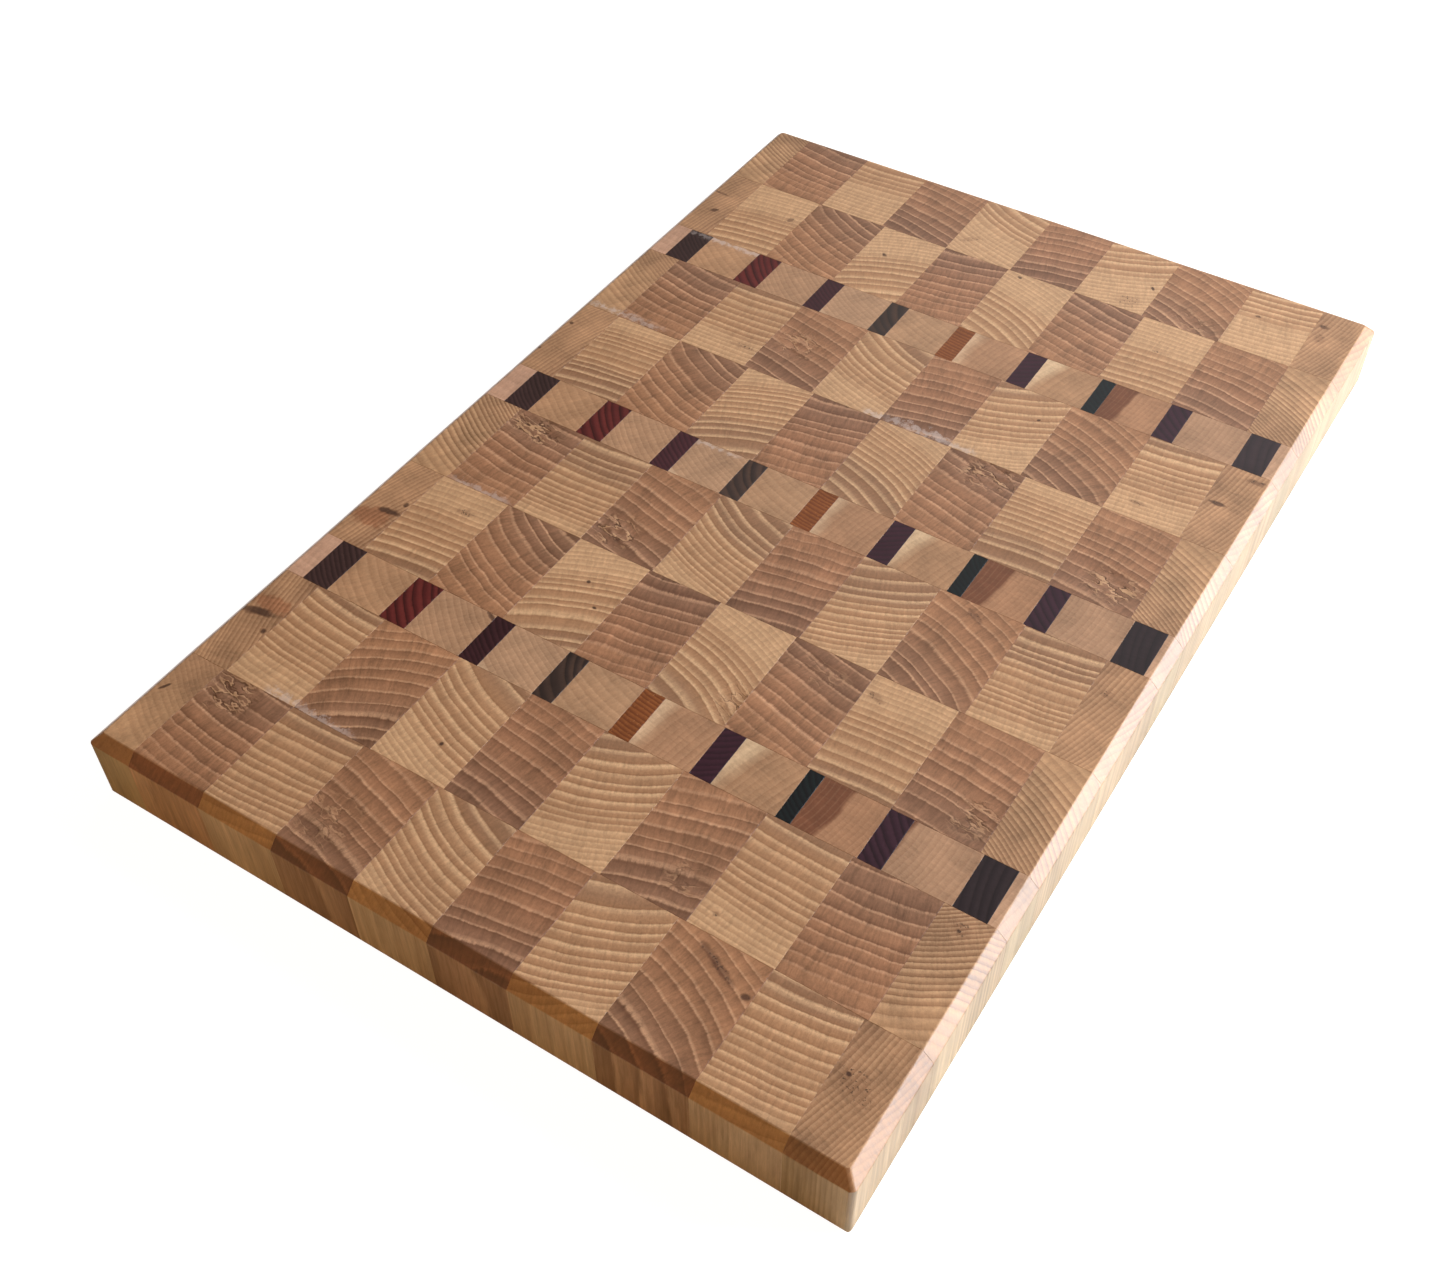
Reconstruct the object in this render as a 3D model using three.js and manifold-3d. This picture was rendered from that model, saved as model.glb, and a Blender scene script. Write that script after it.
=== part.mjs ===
// End-grain cutting board, in millimetres.
// The board lies flat: +X runs across it, +Y runs along it away from the front edge, +Z is up.
// The origin is the middle of the underside.
//
// Eleven glued cross slices make the board. Eight are rows of square hardwood blocks stood on
// end, and three thinner bands of dark inlays and maple spacers lie between them. The finished
// slab has a 45 degree chamfer round the top, and softened upright corners and bottom edges.

import * as THREE from "three";
import { mergeVertices } from "three/addons/utils/BufferGeometryUtils.js";
import Module from "manifold-3d";

const wasm = await Module();
wasm.setup();

// ---------------------------------------------------------------- driving dimensions

const INCH = 25.4;
const THICKNESS = INCH; // slices are crosscut an inch long and stood on end
const BOARD_WIDTH = 237;
const BLOCK_ROW = 38.4; // one row of blocks, sawn from stock an inch and a half thick
const FRONT_ROW = 37.4; // the front row, trimmed square after the glue-up
const BAND = 18.1; // one inlaid band, sawn from three-quarter inch stock
const CHAMFER = 3.3; // an eighth of an inch bevel, top edges only
const BOTTOM_RADIUS = 2.5;
const BOTTOM_ARC_STEPS = 5;
const CORNER_RADIUS = 2; // upright corners, seen from above
const CORNER_ARC_STEPS = 6;
const CUTTER_OVERHANG = 5; // how far a cutting prism reaches past the slab

// Where each band's strips meet, measured from the left edge of the board: the near side
// and far side of each inlay in turn. The maple spacers fill what is left between them.
const INLAY_EDGES = [
  [
    [9.5, 18.7],
    [38.3, 47.6],
    [67.1, 73.8],
    [92.8, 99.4],
    [118.2, 124.9],
    [144.2, 150.9],
    [170.6, 175.1],
    [194.7, 201.6],
    [221.5, 231.1],
  ],
  [
    [10.6, 19.9],
    [39.1, 48.4],
    [67.2, 74.2],
    [92.9, 99.7],
    [118.2, 125.0],
    [144.4, 151.4],
    [171.0, 175.5],
    [195.3, 202.1],
    [221.8, 231.8],
  ],
  [
    [9.8, 18.8],
    [38.3, 47.5],
    [66.4, 73.1],
    [91.9, 98.5],
    [117.5, 123.9],
    [143.6, 150.4],
    [170.1, 174.8],
    [194.2, 201.2],
    [220.9, 230.5],
  ],
];

// The inlays from left to right, each a different wood.
const INLAYS = ["black", "red", "plum", "charcoal", "orange", "purple", "teal", "violet", "jet"];

const COLOURS = {
  slice: 0xb98a58,
  spacer: 0xd0a574,
  black: 0x2e2826,
  red: 0x5e2119,
  plum: 0x3c1f29,
  charcoal: 0x35302c,
  orange: 0x94602f,
  purple: 0x41222e,
  teal: 0x1c2b2a,
  violet: 0x3f2531,
  jet: 0x2c2725,
};
const WOOD_ROUGHNESS = 0.5;

// ---------------------------------------------------------------- helpers

// Lengths are rounded to a 64th of a millimetre. 32-bit numbers hold these exactly, so glued
// faces fall on exactly the same plane on both sides of the joint.
function snapped(length) {
  return Math.round(length * 64) / 64;
}

function rectangle(x0, y0, x1, y1) {
  const outline = new THREE.Shape();
  outline.moveTo(x0, y0);
  outline.lineTo(x1, y0);
  outline.lineTo(x1, y1);
  outline.lineTo(x0, y1);
  outline.closePath();
  return outline;
}

function roundedRectangle(x0, y0, x1, y1, radius) {
  const outline = new THREE.Shape();
  outline.moveTo(x0 + radius, y0);
  outline.absarc(x1 - radius, y0 + radius, radius, -Math.PI / 2, 0);
  outline.absarc(x1 - radius, y1 - radius, radius, 0, Math.PI / 2);
  outline.absarc(x0 + radius, y1 - radius, radius, Math.PI / 2, Math.PI);
  outline.absarc(x0 + radius, y0 + radius, radius, Math.PI, 1.5 * Math.PI);
  outline.closePath();
  return outline;
}

function solid(geometry) {
  const bare = geometry.clone();
  bare.deleteAttribute("normal");
  bare.deleteAttribute("uv");
  const merged = mergeVertices(bare);
  return new wasm.Manifold(
    new wasm.Mesh({
      numProp: 3,
      vertProperties: merged.attributes.position.array,
      triVerts: new Uint32Array(merged.index.array),
    }),
  );
}

function geometryOf(manifold) {
  const { vertProperties, triVerts } = manifold.getMesh();
  const shared = new THREE.BufferGeometry();
  shared.setAttribute("position", new THREE.BufferAttribute(vertProperties, 3));
  shared.setIndex(new THREE.BufferAttribute(triVerts, 1));
  const faceted = shared.toNonIndexed();
  faceted.computeVertexNormals();
  return faceted;
}

// A prism on the outline, reaching past the slab above and below.
function cutter(outline, curveSegments = 1) {
  const prism = new THREE.ExtrudeGeometry(outline, {
    depth: THICKNESS + 2 * CUTTER_OVERHANG,
    bevelEnabled: false,
    curveSegments,
  });
  prism.translate(0, 0, -CUTTER_OVERHANG);
  return solid(prism);
}

// ---------------------------------------------------------------- the finished slab

const LEFT = snapped(-BOARD_WIDTH / 2);
const RIGHT = -LEFT;
const BOARD_LENGTH = FRONT_ROW + 7 * BLOCK_ROW + 3 * BAND;
const FRONT = snapped(-BOARD_LENGTH / 2);
const BACK = -FRONT;

// A slab whose upper edges are chamfered. It hangs below the underside, to be cut there.
function chamferedSlab() {
  const top = rectangle(LEFT + CHAMFER, FRONT + CHAMFER, RIGHT - CHAMFER, BACK - CHAMFER);
  const slab = new THREE.ExtrudeGeometry(top, {
    depth: THICKNESS + CUTTER_OVERHANG,
    bevelThickness: CHAMFER,
    bevelSize: CHAMFER,
    bevelSegments: 1,
  });
  slab.translate(0, 0, -CHAMFER - CUTTER_OVERHANG);
  return solid(slab);
}

// A slab whose lower edges are rounded. It stands above the top, to be cut there.
function roundBottomedSlab() {
  const bottom = rectangle(
    LEFT + BOTTOM_RADIUS,
    FRONT + BOTTOM_RADIUS,
    RIGHT - BOTTOM_RADIUS,
    BACK - BOTTOM_RADIUS,
  );
  const slab = new THREE.ExtrudeGeometry(bottom, {
    depth: THICKNESS + CUTTER_OVERHANG,
    bevelThickness: BOTTOM_RADIUS,
    bevelSize: BOTTOM_RADIUS,
    bevelSegments: BOTTOM_ARC_STEPS,
  });
  slab.translate(0, 0, BOTTOM_RADIUS);
  return solid(slab);
}

function finishedSlab() {
  const plan = roundedRectangle(LEFT, FRONT, RIGHT, BACK, CORNER_RADIUS);
  return chamferedSlab().intersect(roundBottomedSlab()).intersect(cutter(plan, CORNER_ARC_STEPS));
}

const slab = finishedSlab();

// ---------------------------------------------------------------- pieces

// The named piece of the slab inside the outline, placed in its group by its own middle.
function piece(name, colour, outline, middleX, groupY) {
  const cut = slab.intersect(cutter(outline));
  const geometry = geometryOf(cut);
  geometry.translate(-middleX, -groupY, 0);
  const material = new THREE.MeshStandardMaterial({
    color: COLOURS[colour],
    roughness: WOOD_ROUGHNESS,
    metalness: 0,
  });
  const mesh = new THREE.Mesh(geometry, material);
  mesh.name = name;
  mesh.position.x = middleX;
  return mesh;
}

function sliceGroup(y0, y1) {
  const group = new THREE.Group();
  group.position.y = snapped((y0 + y1) / 2);
  return group;
}

// A row of blocks, glued up as one slice. The slice behind a band also holds the two maple
// pieces that close the band's ends, so there its outline wraps round the band.
function blockRow(number, y0, y1, band) {
  const group = sliceGroup(y0, y1);
  const outline = new THREE.Shape();
  outline.moveTo(LEFT - CUTTER_OVERHANG, band ? band.y0 : y0);
  if (band) {
    outline.lineTo(band.left, band.y0);
    outline.lineTo(band.left, band.y1);
    outline.lineTo(band.right, band.y1);
    outline.lineTo(band.right, band.y0);
  }
  outline.lineTo(RIGHT + CUTTER_OVERHANG, band ? band.y0 : y0);
  outline.lineTo(RIGHT + CUTTER_OVERHANG, y1);
  outline.lineTo(LEFT - CUTTER_OVERHANG, y1);
  outline.closePath();
  group.add(piece(`row_${number}_slice`, "slice", outline, 0, group.position.y));
  return group;
}

// A band of inlays with a maple spacer between each two of them.
function inlaidBand(number, band) {
  const group = sliceGroup(band.y0, band.y1);
  const add = (name, colour, x0, x1) => {
    const outline = rectangle(x0, band.y0, x1, band.y1);
    const middle = snapped((x0 + x1) / 2);
    group.add(piece(`band_${number}_${name}`, colour, outline, middle, group.position.y));
  };
  band.inlays.forEach(([x0, x1], i) => {
    add(`inlay_${i + 1}_${INLAYS[i]}`, INLAYS[i], x0, x1);
    const next = band.inlays[i + 1];
    if (next) add(`spacer_${i + 1}`, "spacer", x1, next[0]);
  });
  return group;
}

function bandAt(index, y0, y1) {
  const inlays = INLAY_EDGES[index].map((pair) => pair.map((x) => snapped(LEFT + x)));
  return { y0, y1, inlays, left: inlays[0][0], right: inlays[inlays.length - 1][1] };
}

// ---------------------------------------------------------------- the board, front to back

const BANDS_AFTER_ROWS = [2, 4, 6];
const LAST_ROW = 8;

const board = new THREE.Group();
let y = FRONT;
let bandInFront = null;
for (let row = 1; row <= LAST_ROW; row += 1) {
  const depth = row === 1 ? FRONT_ROW : BLOCK_ROW;
  const back = row === LAST_ROW ? BACK + CUTTER_OVERHANG : snapped(y + depth);
  const front = row === 1 ? FRONT - CUTTER_OVERHANG : y;
  board.add(blockRow(row, front, back, bandInFront));
  y = back;
  bandInFront = null;
  const index = BANDS_AFTER_ROWS.indexOf(row);
  if (index >= 0) {
    bandInFront = bandAt(index, y, snapped(y + BAND));
    board.add(inlaidBand(index + 1, bandInFront));
    y = bandInFront.y1;
  }
}

export default board;
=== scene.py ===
"""Looks of the end-grain cutting board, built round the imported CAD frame.

Every block, edge strip, spacer and inlay of the board is its own piece here: a stick of wood
seen from its end, cut to the finished slab's outline. Sizes are in millimetres until a mesh is
written, and places come from the frame. The wood's figure is worked out in each stick's own
frame: its pith, its growth rings, and its fibres, which run upwards.
"""

import math

import bmesh
import bpy
from mathutils import Matrix, Vector, noise


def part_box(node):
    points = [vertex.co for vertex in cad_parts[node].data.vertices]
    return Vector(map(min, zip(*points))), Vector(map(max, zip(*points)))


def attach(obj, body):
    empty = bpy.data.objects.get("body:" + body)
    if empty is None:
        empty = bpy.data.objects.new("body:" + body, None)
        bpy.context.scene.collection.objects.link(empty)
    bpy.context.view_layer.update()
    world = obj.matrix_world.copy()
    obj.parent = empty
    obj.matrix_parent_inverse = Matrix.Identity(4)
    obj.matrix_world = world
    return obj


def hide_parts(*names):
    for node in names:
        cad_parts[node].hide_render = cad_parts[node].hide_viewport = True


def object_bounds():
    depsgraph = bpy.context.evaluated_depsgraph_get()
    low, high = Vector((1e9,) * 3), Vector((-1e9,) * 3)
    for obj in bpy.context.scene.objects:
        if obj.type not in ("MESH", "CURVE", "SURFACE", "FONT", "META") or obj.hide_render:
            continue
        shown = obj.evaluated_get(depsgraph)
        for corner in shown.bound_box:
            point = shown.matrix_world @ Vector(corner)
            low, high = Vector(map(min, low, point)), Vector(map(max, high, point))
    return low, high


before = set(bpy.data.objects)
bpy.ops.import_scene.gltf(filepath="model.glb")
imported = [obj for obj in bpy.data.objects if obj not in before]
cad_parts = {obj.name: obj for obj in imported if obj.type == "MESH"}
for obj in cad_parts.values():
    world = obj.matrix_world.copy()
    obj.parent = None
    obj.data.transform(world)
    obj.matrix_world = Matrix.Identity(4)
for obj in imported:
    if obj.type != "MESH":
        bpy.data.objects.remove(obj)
cad_low, cad_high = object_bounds()

MM = 0.001

# ---------------------------------------------------------------- camera


def make_camera():
    """The photograph's viewpoint, 41 mm lens: right of the front edge, 48 degrees up."""
    data = bpy.data.cameras.new("camera")
    data.sensor_width = 36
    data.lens = 41.42
    data.clip_start = 0.01
    data.clip_end = 50
    camera = bpy.data.objects.new("camera", data)
    right = Vector((0.84385, 0.53655, -0.00589)).normalized()
    forward = Vector((-0.36303, 0.56280, -0.74260)).normalized()
    up = right.cross(forward).normalized()
    right = forward.cross(up)
    turned = Matrix((right, up, -forward)).transposed().to_4x4()
    camera.matrix_world = Matrix.Translation(Vector((178.13, -323.80, 372.21)) * MM) @ turned
    bpy.context.scene.collection.objects.link(camera)
    bpy.context.scene.camera = camera


make_camera()

# ---------------------------------------------------------------- sizes

LEFT = cad_low.x / MM
RIGHT = cad_high.x / MM
FRONT = cad_low.y / MM
BACK = cad_high.y / MM
TOP = cad_high.z / MM

CHAMFER = 3.3
RIDGE_RADIUS = 1.1  # how far the chamfer's edges are softened
BOTTOM_RADIUS = 2.5
CORNER_RADIUS = 2.0
ARRIS = 0.05  # the finest easing, which leaves a hairline at each glue joint
RIDGE_STEPS, BOTTOM_STEPS, CORNER_STEPS, CHAMFER_CORNER_STEPS = 3, 6, 6, 5
SAME_PLACE = 1e-5  # closer than this is the same place, in mm

# Widths of the eight sticks between the edge strips, and where the first of them starts in
# each row, measured from the board's left edge.
STICK_WIDTHS = (25.5, 25.3, 25.8, 25.3, 24.5, 25.0, 27.1, 24.9)
FIRST_EDGE = (15.2, 16.0, 16.8, 17.8, 16.7, 16.0, 15.8, 15.9)
BAND_BEFORE_ROW = {3: 1, 5: 2, 7: 3}
ROW_AFTER_BAND = {band: row for row, band in BAND_BEFORE_ROW.items()}
INLAYS = ("black", "red", "plum", "charcoal", "orange", "purple", "teal", "violet", "jet")

# ---------------------------------------------------------------- the slab's outline, as planes


def slab_planes():
    """Planes (normal, distance) that the finished slab lies inside, flats first."""
    slant = math.sqrt(0.5)
    flats = {
        "top": (Vector((0, 0, 1)), TOP),
        "bottom": (Vector((0, 0, -1)), 0.0),
        "left": (Vector((-1, 0, 0)), -LEFT),
        "right": (Vector((1, 0, 0)), RIGHT),
        "front": (Vector((0, -1, 0)), -FRONT),
        "back": (Vector((0, 1, 0)), BACK),
    }
    sides = ("left", "right", "front", "back")
    for side in sides:
        normal, distance = flats[side]
        tilted = (normal + Vector((0, 0, 1))) * slant
        flats[side + "_chamfer"] = (tilted, (distance + TOP - CHAMFER) * slant)
    rounds = []
    for side in sides:
        chamfer = flats[side + "_chamfer"]
        rounds += rounded(flats["top"], chamfer, RIDGE_RADIUS, RIDGE_STEPS)
        rounds += rounded(chamfer, flats[side], RIDGE_RADIUS, RIDGE_STEPS)
        rounds += rounded(flats[side], flats["bottom"], BOTTOM_RADIUS, BOTTOM_STEPS)
    for a in ("left", "right"):
        for b in ("front", "back"):
            rounds += rounded(flats[a], flats[b], CORNER_RADIUS, CORNER_STEPS)
            chamfers = flats[a + "_chamfer"], flats[b + "_chamfer"]
            rounds += rounded(*chamfers, CORNER_RADIUS, CHAMFER_CORNER_STEPS)
    return flats, rounds


def rounded(first, second, radius, steps):
    """Planes that touch a cylinder laid along the edge where two planes meet."""
    (n1, d1), (n2, d2) = first, second
    angle = n1.angle(n2)
    planes = []
    for i in range(1, steps + 1):
        share = i / (steps + 1)
        a = math.sin((1 - share) * angle) / math.sin(angle)
        b = math.sin(share * angle) / math.sin(angle)
        planes.append((a * n1 + b * n2, a * (d1 - radius) + b * (d2 - radius) + radius))
    return planes


FLATS, ROUNDS = slab_planes()


def block_planes(x0, x1, y0, y1):
    """The saw and glue faces of one piece, as planes. Faces on the slab's edge are left out."""
    near = 0.01
    cuts = []
    if x0 > LEFT + near:
        cuts.append((Vector((-1, 0, 0)), -x0))
    if x1 < RIGHT - near:
        cuts.append((Vector((1, 0, 0)), x1))
    if y0 > FRONT + near:
        cuts.append((Vector((0, -1, 0)), -y0))
    if y1 < BACK - near:
        cuts.append((Vector((0, 1, 0)), y1))
    return cuts


def clip(bm, normal, distance):
    """Cuts away what lies outside a plane, and closes the cut."""
    if all(v.co.dot(normal) <= distance + SAME_PLACE for v in bm.verts):
        return
    cut = bmesh.ops.bisect_plane(
        bm,
        geom=bm.verts[:] + bm.edges[:] + bm.faces[:],
        dist=SAME_PLACE,
        plane_co=normal * distance,
        plane_no=normal,
        clear_outer=True,
    )
    rim = [e for e in cut["geom_cut"] if isinstance(e, bmesh.types.BMEdge)]
    bmesh.ops.contextual_create(bm, geom=rim)


def solid_piece(x0, x1, y0, y1):
    """A bmesh of the slab's part between two x and two y, with eased edges."""
    bm = bmesh.new()
    size = Matrix.Diagonal((x1 - x0, y1 - y0, TOP, 1))
    place = Matrix.Translation(((x0 + x1) / 2, (y0 + y1) / 2, TOP / 2))
    bmesh.ops.create_cube(bm, size=1, matrix=place @ size)
    for normal, distance in list(FLATS.values()) + ROUNDS:
        clip(bm, normal, distance)
    cuts = block_planes(x0, x1, y0, y1)
    for i, (cut_normal, cut_distance) in enumerate(cuts):
        for normal, distance in list(FLATS.values()) + cuts[:i]:
            if abs(cut_normal.dot(normal)) > 0.9:
                continue  # the two lie flat to each other, so they share no edge
            length = (cut_normal + normal).length
            eased = (cut_distance + distance - ARRIS) / length
            clip(bm, (cut_normal + normal) / length, eased)
    bmesh.ops.recalc_face_normals(bm, faces=bm.faces[:])
    return bm


def add_grid(bm, x0, x1, y0, y1, step):
    """Cuts a piece into a fine grid seen from above, so that its top can be shaped."""
    for axis, low, high in ((0, x0, x1), (1, y0, y1)):
        count = int((high - low) / step)
        for i in range(1, count):
            point = Vector((0, 0, 0))
            point[axis] = low + (high - low) * i / count
            normal = Vector((0, 0, 0))
            normal[axis] = 1
            bmesh.ops.bisect_plane(
                bm,
                geom=bm.verts[:] + bm.edges[:] + bm.faces[:],
                dist=SAME_PLACE,
                plane_co=point,
                plane_no=normal,
            )


# ---------------------------------------------------------------- sticks of wood


class Stick:
    """One stick of wood as its end is seen in the front row.

    pith is where its rings are centred, in mm from the middle of the block, and spacing is the
    width of a ring in that middle. growth is the share by which the rings draw closer per mm
    outwards. Below zero they spread out. It is never zero, because ring_figure divides by it.
    tint multiplies the wood's colour, and contrast is how strongly the rings show.
    """

    def __init__(self, slot, pith, spacing, growth=0.003, tint=(1, 1, 1), contrast=1.0):
        self.slot = slot
        self.pith = Vector(pith)
        self.spacing = spacing
        self.growth = growth
        self.tint = tint
        self.contrast = contrast

    def shaded(self, share):
        """The same stick, lighter or darker."""
        tint = tuple(share * t for t in self.tint)
        return Stick(self.slot, self.pith, self.spacing, self.growth, tint, self.contrast)

    def faded(self, share):
        """The same stick with fainter rings."""
        copy = self.shaded(1.0)
        copy.contrast = self.contrast * share
        return copy


# From the left edge strip to the right one, as in rows 1, 4, 6 and 8.
STICKS = (
    Stick("edge_hardwood", (45, 75), 1.9, -0.03, (1.06, 1.12, 1.13), 0.9),
    Stick("dark_hardwood", (15, 95), 4.1, 0.008, (1.0, 1.0, 1.0)),
    Stick("light_hardwood", (-12, 230), 2.8, 0.024, (0.99, 0.98, 0.97)),
    Stick("dark_hardwood", (-27, -115), 4.3, 0.003, (0.98, 0.98, 0.98)),
    Stick("light_hardwood", (30, 72), 2.7, 0.026, (1.0, 1.0, 1.0)),
    Stick("dark_hardwood", (24, -120), 4.2, 0.01, (0.96, 0.95, 0.96)),
    Stick("light_hardwood", (-36, 90), 2.8, 0.028, (1.03, 1.03, 1.03)),
    Stick("dark_hardwood", (-30, -62), 4.0, 0.003, (1.02, 1.02, 1.0)),
    Stick("light_hardwood", (-24, 190), 2.7, 0.018, (1.01, 1.0, 0.99)),
    Stick("edge_hardwood", (-150, 40), 1.4, 0.01, (0.99, 1.02, 1.03), 0.6),
)

# How far from the block's middle, outwards from the pith, the dark heart ends and the plain
# sapwood starts, for the light blocks of rows 1 to 8.
HEART_EDGE = (-13, -15, -14, -4.5, -5, -15, -24, -28)
SAP_EDGE = (14, 9, 7, 15, 14, 8, 3, 0)
DARK_ZONES = (-6.0, 10.0)  # the same two limits for every dark block
EDGE_ZONES = (-8.0, 8.0)  # and for every edge strip

UPRIGHT, TURNED_OVER, TURNED_ROUND = "upright", "turned over", "turned round"
ROW_WAY = (
    UPRIGHT,
    TURNED_OVER,
    TURNED_ROUND,
    UPRIGHT,
    TURNED_ROUND,
    UPRIGHT,
    TURNED_ROUND,
    UPRIGHT,
)
WAY_SIGNS = {UPRIGHT: (1, 1, 1), TURNED_OVER: (-1, 1, -1), TURNED_ROUND: (-1, -1, 1)}
FAR_AWAY = (9.0, 9.0, 0.0)  # the place in a mark's frame of a piece without that mark
MARK_KINDS = ("knot", "spot", "stain", "smear", "tear")

GRID_STEP = 1.0  # how finely the top of a torn piece is cut, in mm
RIM_KEPT = 0.2  # how far from a torn piece's edges its top stays flat, in mm
SMOOTH_BELOW = 0.42  # edges bent less than this many radians are shaded smooth
CUT_SPACING = 30.0  # mm along its stick from one piece to the next in order
STICK_ORDER = 10.0  # how far apart in order two sticks of one kind are
SPACER_ORDER = 120.0  # where the orders of the spacers start
INLAY_ORDER = 200.0  # and those of the inlays
NO_ZONES = (-90, 90)  # heart and sapwood limits beyond the edges of any piece


def ellipse(centre, half_length, half_width, degrees, strength):
    """A mark on a piece: a function from a place in mm to its place in the mark's own frame.

    The mark's edge is 1 from its centre there, and the third number is its strength.
    """
    c, s = math.cos(math.radians(degrees)), math.sin(math.radians(degrees))

    def local(x, y):
        dx, dy = x - centre[0], y - centre[1]
        return ((dx * c + dy * s) / half_length, (dy * c - dx * s) / half_width, strength)

    return local


def add_vectors(mesh, name, values):
    """One vector for each of the mesh's points, for its material to read."""
    layer = mesh.attributes.new(name, "FLOAT_VECTOR", "POINT")
    layer.data.foreach_set("vector", [float(n) for v in values for n in v])


def piece_mesh(name, span, relief):
    """The mesh of one piece in mm, its top lowered by relief where its grain is torn."""
    x0, x1, y0, y1 = span
    bm = solid_piece(x0, x1, y0, y1)
    if relief:
        add_grid(bm, x0, x1, y0, y1, GRID_STEP)
        for v in bm.verts:
            inside = min(v.co.x - x0, x1 - v.co.x, v.co.y - y0, y1 - v.co.y) > RIM_KEPT
            if inside and v.co.z > TOP - 0.001:
                v.co.z -= relief(v.co.x, v.co.y)
    for edge in bm.edges:
        edge.smooth = len(edge.link_faces) == 2 and edge.calc_face_angle(0) < SMOOTH_BELOW
    for face in bm.faces:
        face.smooth = True
    mesh = bpy.data.meshes.new(name)
    bm.to_mesh(mesh)
    bm.free()
    return mesh


def grain_frame(places, span, stick, way, order):
    """Each place as its stick sees it: outwards from the pith, round it, and along the stick."""
    x0, x1, y0, y1 = span
    middle = Vector(((x0 + x1) / 2, (y0 + y1) / 2))
    outward = -stick.pith / stick.pith.length
    across = Vector((-outward.y, outward.x))
    su, sv, sw = WAY_SIGNS[way]
    figure = []
    for p in places:
        own = Vector(((p.x - middle.x) * su, (p.y - middle.y) * sv)) - stick.pith
        along = (p.z - TOP / 2) * sw + CUT_SPACING * order
        figure.append((own.dot(outward), own.dot(across), along))
    return figure


def make_piece(name, span, stick, way, order, zones, found, node):
    """One piece of wood between two x and two y, with the frame its figure is drawn in.

    order tells apart the pieces of one stick, zones are its heart and sapwood limits, found is
    what marks_of gives, and node is the CAD solid that the piece stands in for.
    """
    marks, relief = found
    slot = stick.slot
    mesh = piece_mesh(name, span, relief)
    places = [v.co.copy() for v in mesh.vertices]
    count = len(places)
    add_vectors(mesh, "grain", grain_frame(places, span, stick, way, order))
    add_vectors(mesh, "zone", [(stick.pith.length, *zones)] * count)
    add_vectors(mesh, "ring", [(stick.spacing, stick.growth, stick.contrast)] * count)
    add_vectors(mesh, "tint", [stick.tint] * count)
    for kind in MARK_KINDS:
        local = marks.get(kind)
        values = [local(p.x, p.y) for p in places] if local else [FAR_AWAY] * count
        add_vectors(mesh, kind, values)

    mesh.transform(Matrix.Scale(MM, 4))
    mesh.materials.append(MATERIALS[slot])
    piece = bpy.data.objects.new(name, mesh)
    bpy.context.scene.collection.objects.link(piece)
    shading = piece.modifiers.new("even_shading", "WEIGHTED_NORMAL")
    shading.weight = 100
    shading.keep_sharp = True
    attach(piece, "root")
    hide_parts(node)


# ---------------------------------------------------------------- materials


def colour(r, g, b):
    """A linear colour from screen values of 0 to 255."""
    linear = []
    for c in (r, g, b):
        c /= 255
        linear.append(c / 12.92 if c <= 0.04045 else ((c + 0.055) / 1.055) ** 2.4)
    return (*linear, 1.0)


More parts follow.
